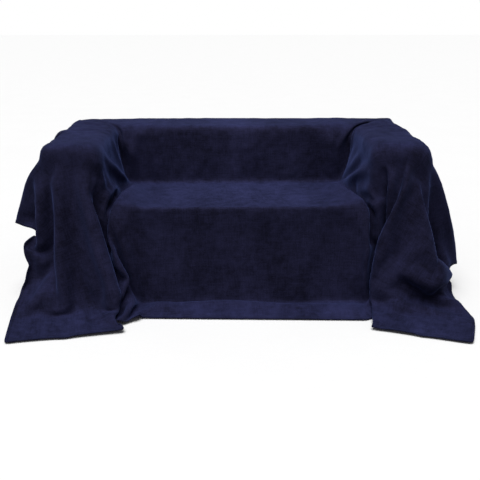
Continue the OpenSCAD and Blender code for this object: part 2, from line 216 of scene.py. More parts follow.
class Pattern(Enum):
    """The shared surface patterns, each one node group."""

    NAP = "suede_nap"
    WEAVE = "plain_weave"
    GRAIN = "wood_grain"
    CELLS = "open_cells"
    FIBRES = "matted_fibres"
    RUBBING = "edge_rubbing"


class Patterns:
    """Builds each pattern's node group once and hands it out."""

    _made: dict[Pattern, bpy.types.NodeTree] = {}

    @classmethod
    def get(cls, pattern: Pattern) -> bpy.types.NodeTree:
        """Gives a pattern's group, building it the first time.

        Args:
            pattern: the pattern wanted.

        Returns:
            The node group.
        """
        if pattern not in cls._made:
            tree = bpy.data.node_groups.new(pattern.value, "ShaderNodeTree")
            for name, kind, value in (("Place", "NodeSocketVector", None), ("Scale", "NodeSocketFloat", 1.0)):
                socket = tree.interface.new_socket(name, in_out="INPUT", socket_type=kind)
                if value is not None:
                    socket.default_value = value
            for name in ("Shade", "Height"):
                tree.interface.new_socket(name, in_out="OUTPUT", socket_type="NodeSocketFloat")
            graph = Graph(tree)
            entry = graph.add("NodeGroupInput")
            shade, height = getattr(cls, f"_{pattern.name.lower()}")(graph, entry)
            graph.add("NodeGroupOutput", in_0=shade, in_1=height)
            cls._made[pattern] = tree
        return cls._made[pattern]

    @staticmethod
    def _noise(graph: Graph, place: object, scale: object, detail: float, rough: float = 0.55) -> bpy.types.NodeSocket:
        """Adds a noise texture and returns its value socket."""
        return graph.add("TexNoise", in_Vector=place, in_Scale=scale, in_Detail=detail, in_Roughness=rough).outputs[0]

    @classmethod
    def _nap(cls, graph: Graph, entry: bpy.types.Node) -> tuple[bpy.types.NodeSocket, bpy.types.NodeSocket]:
        """Short pile: broad brushed patches, hand marks and a fine tooth."""
        place, scale = entry.outputs["Place"], entry.outputs["Scale"]
        brushed = graph.add("Mapping", in_Vector=place, in_Scale=(1.0, 0.45, 1.0), in_Rotation=(0.0, 0.0, 0.35))
        patches = cls._noise(graph, brushed.outputs[0], graph.math("MULTIPLY", scale, 4.2), 3.0, 0.6)
        marks = cls._noise(graph, place, graph.math("MULTIPLY", scale, 21.0), 5.0, 0.7)
        specks = cls._noise(graph, place, graph.math("MULTIPLY", scale, 190.0), 3.0, 0.75)
        tooth = cls._noise(graph, place, graph.math("MULTIPLY", scale, 900.0), 2.0, 0.7)
        upright = graph.add("Mapping", in_Vector=place, in_Scale=(1.0, 0.10, 1.0))
        level = graph.add("Mapping", in_Vector=place, in_Scale=(0.10, 1.0, 1.0))
        ribs = cls._noise(graph, upright.outputs[0], graph.math("MULTIPLY", scale, 150.0), 3.0, 0.7)
        bars = cls._noise(graph, level.outputs[0], graph.math("MULTIPLY", scale, 130.0), 3.0, 0.7)
        threads = graph.math("ADD", graph.math("MULTIPLY", ribs, 0.5), graph.math("MULTIPLY", bars, 0.5))
        shade = graph.math("ADD", graph.math("MULTIPLY", patches, 0.24), graph.math("MULTIPLY", marks, 0.26))
        shade = graph.math("ADD", shade, graph.math("MULTIPLY", specks, 0.22))
        shade = graph.math("ADD", shade, graph.math("MULTIPLY", threads, 0.28))
        height = graph.math("ADD", graph.math("MULTIPLY", specks, 0.5), graph.math("MULTIPLY", tooth, 0.3))
        height = graph.math("ADD", height, graph.math("MULTIPLY", threads, 0.6))
        return graph.spread(shade, 0.42, 0.60, 0.0, 1.0), height

    @classmethod
    def _weave(cls, graph: Graph, entry: bpy.types.Node) -> tuple[bpy.types.NodeSocket, bpy.types.NodeSocket]:
        """Threads over and under: Scale is threads per metre."""
        place, scale = entry.outputs["Place"], entry.outputs["Scale"]
        split = graph.add("SeparateXYZ", in_Vector=place)
        across = graph.math("ADD", split.outputs[0], split.outputs[1])
        along = graph.math("ADD", split.outputs[2], graph.math("MULTIPLY", split.outputs[1], 0.31))
        turn = graph.math("MULTIPLY", scale, math.pi)
        warp = graph.math("SINE", graph.math("MULTIPLY", across, turn))
        weft = graph.math("SINE", graph.math("MULTIPLY", along, turn))
        slub = cls._noise(graph, place, graph.math("MULTIPLY", scale, 0.16), 3.0, 0.7)
        over = graph.math("MULTIPLY", warp, weft)
        rise = graph.math("ABSOLUTE", warp)
        height = graph.math("ADD", graph.math("MULTIPLY", over, 0.35), graph.math("MULTIPLY", rise, 0.4))
        height = graph.math("ADD", height, graph.math("MULTIPLY", slub, 0.5))
        shade = graph.math("ADD", graph.math("MULTIPLY", over, 0.22), graph.math("MULTIPLY", slub, 0.9))
        return graph.spread(shade, 0.1, 0.8, 0.0, 1.0), height

    @classmethod
    def _grain(cls, graph: Graph, entry: bpy.types.Node) -> tuple[bpy.types.NodeSocket, bpy.types.NodeSocket]:
        """Long fibres and growth rings; the grain runs along the place's first axis."""
        place, scale = entry.outputs["Place"], entry.outputs["Scale"]
        drawn = graph.add("Mapping", in_Vector=place, in_Scale=(0.07, 1.0, 1.0))
        rings = graph.add(
            "TexWave", wave_type="BANDS", bands_direction="DIAGONAL", in_Vector=drawn.outputs[0],
            in_Scale=graph.math("MULTIPLY", scale, 9.0), in_Distortion=7.0, in_Detail=3.0,
        ).outputs[1]
        fibres = cls._noise(graph, drawn.outputs[0], graph.math("MULTIPLY", scale, 260.0), 3.0, 0.6)
        broad = cls._noise(graph, drawn.outputs[0], graph.math("MULTIPLY", scale, 14.0), 2.0)
        shade = graph.math("ADD", graph.math("MULTIPLY", rings, 0.4), graph.math("MULTIPLY", fibres, 0.35))
        shade = graph.math("ADD", shade, graph.math("MULTIPLY", broad, 0.3))
        return graph.spread(shade, 0.2, 0.85, 0.0, 1.0), fibres

    @classmethod
    def _cells(cls, graph: Graph, entry: bpy.types.Node) -> tuple[bpy.types.NodeSocket, bpy.types.NodeSocket]:
        """Cut foam: small open cells in a slightly yellowed body."""
        place, scale = entry.outputs["Place"], entry.outputs["Scale"]
        cells = graph.add("TexVoronoi", in_Vector=place, in_Scale=graph.math("MULTIPLY", scale, 620.0)).outputs[0]
        age = cls._noise(graph, place, graph.math("MULTIPLY", scale, 5.0), 3.0)
        shade = graph.math("ADD", graph.math("MULTIPLY", cells, 0.4), graph.math("MULTIPLY", age, 0.7))
        return graph.spread(shade, 0.2, 0.8, 0.0, 1.0), cells

    @classmethod
    def _fibres(cls, graph: Graph, entry: bpy.types.Node) -> tuple[bpy.types.NodeSocket, bpy.types.NodeSocket]:
        """Felted or bonded cloth: tangled short hairs with flecks."""
        place, scale = entry.outputs["Place"], entry.outputs["Scale"]
        hairs = graph.add("Mapping", in_Vector=place, in_Scale=(1.0, 0.2, 1.0), in_Rotation=(0.3, 0.2, 0.7))
        one = cls._noise(graph, hairs.outputs[0], graph.math("MULTIPLY", scale, 520.0), 3.0, 0.7)
        other = graph.add("Mapping", in_Vector=place, in_Scale=(0.2, 1.0, 1.0), in_Rotation=(0.1, 0.4, -0.5))
        two = cls._noise(graph, other.outputs[0], graph.math("MULTIPLY", scale, 470.0), 3.0, 0.7)
        height = graph.math("MAXIMUM", one, two)
        broad = cls._noise(graph, place, graph.math("MULTIPLY", scale, 12.0), 3.0)
        shade = graph.math("ADD", graph.math("MULTIPLY", height, 0.7), graph.math("MULTIPLY", broad, 0.4))
        return graph.spread(shade, 0.35, 0.85, 0.0, 1.0), height

    @classmethod
    def _rubbing(cls, graph: Graph, entry: bpy.types.Node) -> tuple[bpy.types.NodeSocket, bpy.types.NodeSocket]:
        """Handling marks on metal and plastic: soft stains and fine scratches."""
        place, scale = entry.outputs["Place"], entry.outputs["Scale"]
        stains = cls._noise(graph, place, graph.math("MULTIPLY", scale, 22.0), 4.0, 0.65)
        drawn = graph.add("Mapping", in_Vector=place, in_Scale=(0.05, 1.0, 1.0), in_Rotation=(0.0, 0.3, 0.2))
        lines = cls._noise(graph, drawn.outputs[0], graph.math("MULTIPLY", scale, 700.0), 2.0, 0.6)
        shade = graph.math("ADD", graph.math("MULTIPLY", stains, 0.65), graph.math("MULTIPLY", lines, 0.4))
        return graph.spread(shade, 0.3, 0.75, 0.0, 1.0), lines


# --------------------------------------------------------------------- finishes


@dataclass(frozen=True)
class Finish:
    """One material: a pattern between two colours, with its own gloss and relief.

    Attributes:
        name: the material's name.
        dark: base colour where the pattern is low.
        light: base colour where the pattern is high.
        pattern: the shared pattern that it uses.
        scale: the pattern's scale.
        rough: roughness where the pattern is low and high.
        relief: bump distance.
        bump: bump strength.
        metallic: metal share.
        sheen: sheen weight.
        sheen_rough: sheen roughness.
        sheen_tint: sheen colour.
        specular: specular level.
        on_cut: whether the pattern follows the cloth's flat cut.
        turn: rotation of the pattern.
        upward: painted light from above: how much each colour gains where the face looks up.
    """

    name: str
    dark: Rgb
    light: Rgb
    pattern: Pattern
    scale: float = 1.0
    rough: tuple[float, float] = (0.7, 0.85)
    relief: float = 0.0004
    bump: float = 0.4
    metallic: float = 0.0
    sheen: float = 0.0
    sheen_rough: float = 0.5
    sheen_tint: Rgb = (1.0, 1.0, 1.0)
    specular: float = 0.5
    on_cut: tuple[float, float] | None = None
    turn: Point = (0.0, 0.0, 0.0)
    upward: Rgb = (1.0, 1.0, 1.0)

    def build(self) -> bpy.types.Material:
        """Makes the material.

        Returns:
            The new material.
        """
        material = bpy.data.materials.new(self.name)
        material.use_nodes = True
        graph = Graph(material.node_tree)
        where = graph.add("TexCoord")
        if self.on_cut:
            source, size = where.outputs["UV"], (*self.on_cut, 1.0)
        else:
            source, size = where.outputs["Object"], (1.0, 1.0, 1.0)
        place = graph.add("Mapping", in_Vector=source, in_Scale=size, in_Rotation=self.turn)
        group = graph.add("Group", node_tree=Patterns.get(self.pattern))
        graph.tree.links.new(place.outputs[0], group.inputs["Place"])
        group.inputs["Scale"].default_value = self.scale
        shade, height = group.outputs["Shade"], group.outputs["Height"]
        bump = graph.add("Bump", in_Strength=self.bump, in_Distance=self.relief, in_Height=height)
        colour = graph.mix(shade, self.dark, self.light)
        # Painted top light: faces that look up get a lighter, bluer base colour, standing in for the overhead light.
        if self.upward != (1.0, 1.0, 1.0):
            face = graph.add("SeparateXYZ", in_Vector=graph.add("NewGeometry").outputs["Normal"])
            painted_top_gain = graph.mix(graph.spread(face.outputs["Z"], 0.3, 0.95, 0.0, 1.0), (1.0, 1.0, 1.0), self.upward)
            colour = graph.add("VectorMath", operation="MULTIPLY", in_0=colour, in_1=painted_top_gain).outputs[0]
        shader = graph.add(
            "BsdfPrincipled",
            in_Base_Color=colour,
            in_Roughness=graph.spread(shade, 0.0, 1.0, *self.rough),
            in_Metallic=self.metallic,
            in_Specular_IOR_Level=self.specular,
            in_Sheen_Weight=self.sheen,
            in_Sheen_Roughness=self.sheen_rough,
            in_Sheen_Tint=(*self.sheen_tint, 1.0),
            in_Normal=bump.outputs[0],
        )
        graph.add("OutputMaterial", in_Surface=shader.outputs[0])
        return material


# Both suede finishes carry painted top light: their colours are lifted and made bluer on faces that look up.
SUEDE = Finish(
    "navy_suede", (0.0050, 0.0046, 0.0140), (0.0250, 0.0250, 0.0680), Pattern.NAP,
    rough=(0.82, 0.97), relief=0.0014, bump=0.6, sheen=0.22, sheen_rough=0.45,
    sheen_tint=(0.20, 0.29, 0.85), specular=0.08, on_cut=(3.5, 2.7), upward=(1.0, 1.08, 1.22),
)
HEM_SUEDE = Finish(
    "navy_suede_hem", (0.0046, 0.0042, 0.0130), (0.0230, 0.0230, 0.0630), Pattern.NAP,
    rough=(0.85, 0.98), relief=0.0014, bump=0.65, sheen=0.18, sheen_rough=0.45,
    sheen_tint=(0.20, 0.29, 0.85), specular=0.08, on_cut=(3.5, 2.7), upward=(1.0, 1.08, 1.22),
)
NAVY_THREAD = Finish(
    "navy_thread", (0.010, 0.012, 0.034), (0.024, 0.027, 0.062), Pattern.FIBRES, scale=4.0,
    rough=(0.5, 0.7), relief=0.0001, specular=0.3,
)
OATMEAL = Finish(
    "oatmeal_weave", (0.33, 0.29, 0.235), (0.56, 0.51, 0.43), Pattern.WEAVE, scale=780.0,
    rough=(0.8, 0.95), relief=0.0007, bump=0.5, sheen=0.15, sheen_rough=0.5, specular=0.2,
)
OATMEAL_PIPING = Finish(
    "oatmeal_piping", (0.28, 0.245, 0.2), (0.50, 0.455, 0.38), Pattern.WEAVE, scale=900.0,
    rough=(0.8, 0.95), relief=0.0005, bump=0.5, specular=0.2,
)
SOFTWOOD = Finish(
    "sawn_timber", (0.36, 0.22, 0.11), (0.70, 0.52, 0.32), Pattern.GRAIN, rough=(0.6, 0.8), bump=0.3,
)
PLYWOOD = Finish(
    "birch_ply", (0.45, 0.30, 0.16), (0.74, 0.58, 0.38), Pattern.GRAIN, scale=0.8, rough=(0.55, 0.75), bump=0.2,
)
HARDBOARD = Finish(
    "brown_hardboard", (0.11, 0.06, 0.03), (0.24, 0.145, 0.08), Pattern.FIBRES, rough=(0.55, 0.75), bump=0.2,
)
SPRING_STEEL = Finish(
    "spring_wire", (0.05, 0.052, 0.056), (0.15, 0.155, 0.16), Pattern.RUBBING,
    rough=(0.3, 0.5), metallic=0.9, bump=0.1,
)
ZINC = Finish(
    "zinc_plate", (0.42, 0.43, 0.44), (0.70, 0.71, 0.71), Pattern.RUBBING,
    rough=(0.25, 0.5), metallic=1.0, bump=0.1,
)
FELT = Finish("grey_felt", (0.10, 0.097, 0.093), (0.30, 0.29, 0.28), Pattern.FIBRES, rough=(0.9, 0.98), relief=0.001)
BONDED_CLOTH = Finish(
    "black_bonded_cloth", (0.007, 0.007, 0.008), (0.028, 0.028, 0.03), Pattern.FIBRES, scale=0.8,
    rough=(0.7, 0.9), relief=0.0004,
)
STRAP = Finish(
    "elastic_strap", (0.012, 0.014, 0.017), (0.05, 0.054, 0.06), Pattern.WEAVE, scale=1100.0, rough=(0.6, 0.8),
)
FOAM = Finish("cut_foam", (0.62, 0.54, 0.34), (0.83, 0.77, 0.58), Pattern.CELLS, rough=(0.9, 0.98), relief=0.0008)
STAINED_WOOD = Finish(
    "dark_stained_wood", (0.028, 0.013, 0.007), (0.10, 0.052, 0.028), Pattern.GRAIN,
    rough=(0.28, 0.45), bump=0.15, turn=(0.0, math.pi / 2, 0.0),
)
GLIDE = Finish("black_plastic", (0.008, 0.008, 0.008), (0.03, 0.03, 0.031), Pattern.RUBBING, rough=(0.4, 0.6), bump=0.1)
PALE_FLOOR = Finish(
    "pale_floor", (0.95, 0.95, 0.95), (0.98, 0.98, 0.98), Pattern.FIBRES, scale=0.2,
    rough=(0.75, 0.85), bump=0.02, specular=0.1,
)


class Wardrobe:
    """Builds each finish once and dresses objects in it."""

    _made: dict[str, bpy.types.Material] = {}

    @classmethod
    def dress(cls, piece: bpy.types.Object, finish: Finish) -> None:
        """Gives a piece one finish.

        Args:
            piece: the object to dress.
            finish: what it is dressed in.
        """
        if finish.name not in cls._made:
            cls._made[finish.name] = finish.build()
        material = cls._made[finish.name]
        if not piece.material_slots:
            piece.data.materials.append(material)
        for slot in piece.material_slots:
            slot.material = material


# --------------------------------------------------------------------- mesh work


class Workshop:
    """Mesh jobs that several sub-assemblies share."""

    @staticmethod
    def keep(mesh_source: bmesh.types.BMesh, name: str, smooth: bool = True) -> bpy.types.Object:
        """Turns a bmesh into a linked object at the origin.

        Args:
            mesh_source: the finished bmesh, which is freed.
            name: the object's name.
            smooth: whether its faces are shaded smooth.

        Returns:
            The new object.
        """
        mesh = bpy.data.meshes.new(name)
        mesh_source.to_mesh(mesh)
        mesh_source.free()
        for face in mesh.polygons:
            face.use_smooth = smooth
        piece = bpy.data.objects.new(name, mesh)
        bpy.context.scene.collection.objects.link(piece)
        return piece

    @staticmethod
    def apply_modifiers(piece: bpy.types.Object) -> None:
        """Bakes every modifier of a piece into its mesh.

        Args:
            piece: the object whose modifiers are applied.
        """
        graph = bpy.context.evaluated_depsgraph_get()
        baked = bpy.data.meshes.new_from_object(piece.evaluated_get(graph))
        old = piece.data
        piece.modifiers.clear()
        piece.data = baked
        baked.name = piece.name
        bpy.data.meshes.remove(old)
        for face in baked.polygons:
            face.use_smooth = True

    @staticmethod
    def positions(mesh: bpy.types.Mesh) -> np.ndarray:
        """Reads a mesh's points.

        Args:
            mesh: the mesh to read.

        Returns:
            An array with one row for each point.
        """
        points = np.empty(len(mesh.vertices) * 3)
        mesh.vertices.foreach_get("co", points)
        return points.reshape(-1, 3)

    @staticmethod
    def rounded_block(low: Sequence[float], high: Sequence[float], radius: float, segments: int = 4) -> bmesh.types.BMesh:
        """Makes a box with all its edges rounded.

        Args:
            low: its lowest corner.
            high: its highest corner.
            radius: the radius of its edges.
            segments: faces across each rounding.

        Returns:
            The new bmesh.
        """
        block = bmesh.new()
        bmesh.ops.create_cube(block, size=1.0)
        for vert in block.verts:
            vert.co = Vector([low[k] if vert.co[k] < 0 else high[k] for k in range(3)])
        bmesh.ops.bevel(
            block, geom=block.edges[:], offset=radius, segments=segments, profile=0.5,
            affect="EDGES", material=-1,
        )
        return block

    @staticmethod
    def cut_into_cells(block: bmesh.types.BMesh, low: Sequence[float], high: Sequence[float], cell: float) -> None:
        """Cuts a block's faces into cells of about one size.

        Args:
            block: the block, changed in place.
            low: its lowest corner.
            high: its highest corner.
            cell: the wanted cell size.
        """
        for axis in range(3):
            count = max(1, round((high[axis] - low[axis]) / cell))
            normal = [0.0, 0.0, 0.0]
            normal[axis] = 1.0
            for step in range(1, count):
                at = [0.0, 0.0, 0.0]
                at[axis] = low[axis] + (high[axis] - low[axis]) * step / count
                bmesh.ops.bisect_plane(
                    block, geom=block.verts[:] + block.edges[:] + block.faces[:],
                    plane_co=at, plane_no=normal, dist=1e-6,
                )

    @staticmethod
    def tube(name: str, path: Sequence[Vector], radius: float, closed: bool) -> bpy.types.Object:
        """Makes a round tube along a path, as a mesh.

        Args:
            name: the object's name.
            path: the points on the tube's middle line.
            radius: the tube's radius.
            closed: whether the path joins its own start.

        Returns:
            The tube.
        """
        curve = bpy.data.curves.new(name, "CURVE")
        curve.dimensions = "3D"
        curve.bevel_depth = radius
        curve.bevel_resolution = 2
        curve.use_fill_caps = not closed
        spline = curve.splines.new("POLY")
        spline.points.add(len(path) - 1)
        for point, place in zip(spline.points, path):
            point.co = (*place, 1.0)
        spline.use_cyclic_u = closed
        source = bpy.data.objects.new(name + "_line", curve)
        bpy.context.scene.collection.objects.link(source)
        graph = bpy.context.evaluated_depsgraph_get()
        mesh = bpy.data.meshes.new_from_object(source.evaluated_get(graph))
        bpy.data.objects.remove(source)
        bpy.data.curves.remove(curve)
        for face in mesh.polygons:
            face.use_smooth = True
        mesh.name = name
        tube = bpy.data.objects.new(name, mesh)
        bpy.context.scene.collection.objects.link(tube)
        return tube

    @staticmethod
    def stitches(name: str, path: Sequence[Vector], ups: Sequence[Vector], long: float, thick: float) -> bpy.types.Object:
        """Makes a row of small raised stitches.

        Args:
            name: the object's name.
            path: the middle of each stitch.
            ups: the surface direction at each stitch.
            long: the stitch length.
            thick: the thread's thickness.

        Returns:
            The row of stitches.
        """
        row = bmesh.new()
        for index, (place, up) in enumerate(zip(path, ups)):
            ahead = path[(index + 1) % len(path)] - path[index - 1]
            side = up.cross(ahead).normalized()
            ahead = side.cross(up).normalized()
            turn = Matrix((ahead, side, up)).transposed().to_4x4()
            bmesh.ops.create_cube(
                row, size=1.0,
                matrix=Matrix.Translation(place) @ turn @ Matrix.Diagonal((long, thick, thick * 0.7, 1.0)),
            )
        return Workshop.keep(row, name, smooth=False)


# --------------------------------------------------------------------- the throw


@dataclass(frozen=True)
class HeldPoint:
    """A point of the cloth that a hand put somewhere.

    Attributes:
        across: its place across the flat cloth.
        along: its place along the flat cloth.
        place: where it was put.
        grip: how firmly it is held, from 0 to 1.
    """

    across: float
    along: float
    place: Point
    grip: float = 1.0


@dataclass(frozen=True)
class HeldFold:
    """A fold of the cloth that runs straight on the flat cut and along a line in space.

    Attributes:
        start: where it starts on the flat cloth.
        end: where it ends on the flat cloth.
        line: the points in space that it follows.
        grip: how firmly it is held, from 0 to 1.
    """

    start: tuple[float, float]
    end: tuple[float, float]
    line: tuple[Point, ...]
    grip: float = 0.5


@dataclass(frozen=True)
class HeldPatch:
    """A part of the cloth that is laid out smoothly between four corners.

    Attributes:
        rows: where its near and far edge lie along the flat cloth.
        near: where its near edge starts and ends across the flat cloth.
        far: where its far edge starts and ends across the flat cloth.
        places: where the near start, near end, far start and far end come to lie.
        grip: how firmly it is held, from 0 to 1.
    """

    rows: tuple[float, float]
    near: tuple[float, float]
    far: tuple[float, float]
    places: tuple[Point, Point, Point, Point]
    grip: float = 0.8

    def lay(self, flat: np.ndarray, grip: np.ndarray, goal: np.ndarray) -> None:
        """Holds every point inside the patch.

        Args:
            flat: the flat cloth's points.
            grip: the grips, changed in place.
            goal: the goals, changed in place.
        """
        up = (flat[:, 1] - self.rows[0]) / (self.rows[1] - self.rows[0])
        start = self.near[0] + (self.far[0] - self.near[0]) * up
        end = self.near[1] + (self.far[1] - self.near[1]) * up
        side = (flat[:, 0] - start) / (end - start)
        inside = (up > -0.01) & (up < 1.01) & (side > -0.01) & (side < 1.01)
        up, side = up[inside, None], side[inside, None]
        corners = np.array(self.places)
        near = corners[0] * (1.0 - side) + corners[1] * side
        far = corners[2] * (1.0 - side) + corners[3] * side
        grip[inside] = self.grip
        goal[inside] = near * (1.0 - up) + far * up


@dataclass
class ThrowCover:
    """The large suede throw: its cut, how it was arranged, and its sewn hem.

    Attributes:
        sofa: the sofa that it lies over.
        width: the flat cut, across.
        length: the flat cut, front to back.
        shift: how far the cut is moved to the right.
        front_drop: how far it reaches past the front of the arms.
        cell: the size of a cell of the mesh.
        frames: how long it is let fall.
        thickness: the cloth's thickness.
        pressed: how high a fold may stand on the flat tops.
        clearance: the least distance between the cloth and the sofa.
    """

    sofa: SofaSpace
    width: float = 3.5
    length: float = 2.7
    shift: float = 0.10
    front_drop: float = 0.98
    cell: float = 0.028
    frames: int = 70
    thickness: float = 0.0016
    pressed: float = 0.022
    clearance: float = 0.005
    folds: tuple[HeldFold, ...] = field(default=(
        HeldFold(
            (-0.95, -0.44), (-1.14, -1.42),
            ((-0.668, -0.446, 0.772), (-0.665, -0.46, 0.588), (-0.65, -0.48, 0.424), (-0.618, -0.50, 0.266),
             (-0.587, -0.55, 0.132), (-0.564, -0.565, 0.008), (-0.506, -0.795, 0.008)),
        ),
        HeldFold(
            (0.95, -0.44), (1.40, -1.42),
            ((0.668, -0.446, 0.772), (0.714, -0.452, 0.675), (0.69, -0.462, 0.518), (0.655, -0.475, 0.297),
             (0.617, -0.50, 0.083), (0.62, -0.511, 0.008), (0.595, -0.667, 0.008), (0.59, -0.78, 0.008)),
        ),
        HeldFold(
            (-1.06, -0.44), (-1.40, -1.42),
            ((-0.775, -0.448, 0.772), (-0.79, -0.48, 0.50), (-0.78, -0.51, 0.27), (-0.77, -0.56, 0.08),
             (-0.765, -0.66, 0.014), (-0.76, -0.85, 0.014)), 0.35,
        ),
        HeldFold(
            (1.06, -0.44), (1.62, -1.42),
            ((0.775, -0.448, 0.772), (0.80, -0.475, 0.50), (0.785, -0.50, 0.25), (0.775, -0.53, 0.03),
             (0.79, -0.70, 0.014), (0.795, -0.864, 0.014)), 0.35,
        ),
        HeldFold((-0.95, -0.44), (-0.90, 0.10), ((-0.657, -0.44, 0.772), (-0.665, 0.10, 0.775))),
        HeldFold((0.95, -0.44), (0.90, 0.10), ((0.657, -0.44, 0.772), (0.665, 0.10, 0.775))),
        HeldFold(
            (-1.22, -0.43), (-1.65, -0.42),
            ((-0.920, -0.44, 0.764), (-0.992, -0.41, 0.696), (-1.028, -0.39, 0.602), (-1.083, -0.34, 0.383)), 0.95,
        ),
        HeldFold(
            (1.22, -0.43), (1.85, -0.36),
            ((0.922, -0.44, 0.766), (0.974, -0.41, 0.686), (1.031, -0.40, 0.504), (1.121, -0.32, 0.228),
             (1.149, -0.30, 0.127)), 0.95,
        ),
    ))
    patches: tuple[HeldPatch, ...] = field(default=(
        HeldPatch(
            (-1.42, -1.18), (-1.65, -1.14), (-1.65, -1.093),
            ((-1.012, -0.890, 0.008), (-0.506, -0.795, 0.020), (-1.062, -0.625, 0.010), (-0.564, -0.570, 0.024)),
        ),
        HeldPatch(
            (-1.42, -1.18), (1.40, 1.85), (1.29, 1.85),
            ((0.590, -0.785, 0.020), (1.010, -0.934, 0.008), (0.618, -0.530, 0.024), (1.097, -0.710, 0.010)),
        ),
    ))
    points: tuple[HeldPoint, ...] = field(default=(
        HeldPoint(-1.65, -1.42, (-1.012, -0.890, 0.008)),
        HeldPoint(-1.39, -1.42, (-0.759, -0.851, 0.008)),
        HeldPoint(-1.14, -1.42, (-0.506, -0.795, 0.018)),
        HeldPoint(-0.84, -1.42, (-0.720, -0.660, 0.008)),
        HeldPoint(1.02, -1.42, (0.860, -0.620, 0.008)),
        HeldPoint(1.40, -1.42, (0.590, -0.785, 0.018)),
        HeldPoint(1.63, -1.42, (0.797, -0.864, 0.008)),
        HeldPoint(1.85, -1.42, (1.010, -0.934, 0.008)),
        HeldPoint(-1.65, -1.21, (-1.060, -0.652, 0.008), 0.9),
        HeldPoint(-1.65, -1.08, (-1.040, -0.580, 0.067), 0.8),
        HeldPoint(-1.65, -0.99, (-1.008, -0.530, 0.138), 0.8),
        HeldPoint(-1.65, -0.92, (-0.976, -0.500, 0.207), 0.8),
        HeldPoint(-1.65, -0.75, (-0.966, -0.455, 0.368), 0.8),
        HeldPoint(-1.65, -0.66, (-0.930, -0.420, 0.300), 0.6),
        HeldPoint(-1.65, -0.56, (-0.984, -0.430, 0.375), 0.9),
        HeldPoint(-1.65, -0.49, (-1.034, -0.380, 0.379), 0.9),
        HeldPoint(-1.65, -0.41, (-1.084, -0.330, 0.380)),
        HeldPoint(-1.65, -0.28, (-1.055, -0.220, 0.355), 0.5),
        HeldPoint(1.85, -1.18, (1.097, -0.710, 0.008)),
        HeldPoint(1.85, -1.10, (1.088, -0.635, 0.008), 0.9),
        HeldPoint(1.85, -0.99, (1.078, -0.530, 0.023), 0.8),
        HeldPoint(1.85, -0.92, (1.050, -0.500, 0.074), 0.8),
        HeldPoint(1.85, -0.86, (1.040, -0.460, 0.116), 0.8),
        HeldPoint(1.85, -0.70, (0.950, -0.430, 0.100), 0.6),
        HeldPoint(1.85, -0.50, (1.060, -0.400, 0.110), 0.8),
        HeldPoint(1.85, -0.36, (1.149, -0.300, 0.127)),
        HeldPoint(1.85, -0.22, (1.135, -0.170, 0.120), 0.5),
        HeldPoint(-1.20, -0.44, (-0.925, -0.452, 0.774), 0.9),
        HeldPoint(1.20, -0.44, (0.928, -0.452, 0.776), 0.9),
        HeldPoint(-1.65, 1.28, (-1.040, 0.800, 0.008)),
        HeldPoint(1.85, 1.28, (1.130, 0.840, 0.008)),
    ))

    def build(self) -> None:
        """Cuts, drapes, hems and dresses the throw."""
        cell, frames = ((self.cell, self.frames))
        cloth = self._cut(cell)
        self._drape(cloth, frames)
        self._press(cloth)
        cloth.modifiers.new("rounding", "SUBSURF").levels = 1
        cloth.modifiers["rounding"].render_levels = 1
        Workshop.apply_modifiers(cloth)
        self._wrinkle(cloth)
        self._clear(cloth)
        hem = self._hem(cloth, cell)
        seam = self._hem_stitches(cloth, cell)
        for piece, thick in ((cloth, self.thickness), (hem, self.thickness * 2.0)):
            wall = piece.modifiers.new("wall", "SOLIDIFY")
            wall.thickness = thick
            wall.offset = 0.0
        Wardrobe.dress(cloth, SUEDE)
        Wardrobe.dress(hem, HEM_SUEDE)
        Wardrobe.dress(seam, NAVY_THREAD)
        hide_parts("throw")
        for piece in (cloth, hem, seam):
            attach(piece, "throw")
            LOG.info("throw piece %s has %d faces", piece.name, len(piece.data.polygons))

    def _cut(self, cell: float) -> bpy.types.Object:
        """Cuts the flat cloth and lays it out level above the sofa.

        Args:
            cell: the size of a mesh cell.

        Returns:
            The flat cloth.
        """
        grid = bmesh.new()
        grid.loops.layers.uv.new(CLOTH_UV)
        bmesh.ops.create_grid(
            grid, x_segments=round(self.width / cell), y_segments=round(self.length / cell),
            size=0.5, calc_uvs=True,
        )
        lie = Matrix.Translation((self.shift, self.sofa.front - self.front_drop + self.length / 2, self.sofa.top + 0.03))
        bmesh.ops.transform(grid, matrix=lie @ Matrix.Diagonal((self.width, self.length, 1.0, 1.0)), verts=grid.verts)
        return Workshop.keep(grid, "throw_cloth")

    def _stand_shapes(self) -> tuple[tuple[str, Point, Point, float, float], ...]:
        """Lists the rounded blocks that the cloth falls on.

        Returns:
            For each block its name, lowest corner, highest corner, edge radius and grip.
        """
        s = self.sofa
        under = -0.3
        return (
            ("left_arm", (-s.arm_out, s.front, under), (-s.arm_in, s.back, s.top), 0.035, 5.0),
            ("right_arm", (s.arm_in, s.front, under), (s.arm_out, s.back, s.top), 0.035, 5.0),
            ("seat", (-s.arm_in - 0.03, s.front, under), (s.arm_in + 0.03, s.crease + 0.1, s.seat_top), 0.02, 5.0),
            ("back", (-s.arm_in - 0.03, s.crease, under), (s.arm_in + 0.03, s.back, s.top + 0.004), 0.04, 5.0),
        )

    def _stand(self) -> list[bpy.types.Object]:
        """Builds the shapes that the cloth falls on.

        Returns:
            The collision shapes, to be removed afterwards.
        """
        shapes = (*self._stand_shapes(), ("ground", (-4.0, -4.0, -0.4), (4.0, 4.0, 0.0), 0.01, 30.0))
        made = []
        for name, low, high, radius, grip in shapes:
            block = Workshop.rounded_block(low, high, radius)
            bmesh.ops.triangulate(block, faces=block.faces[:])
            shape = Workshop.keep(block, "stand_" + name)
            shape.modifiers.new("solid", "COLLISION")
            shape.collision.thickness_outer = 0.006
            shape.collision.thickness_inner = 0.05
            shape.collision.cloth_friction = grip
            shape.collision.damping = 0.5
            made.append(shape)
        return made

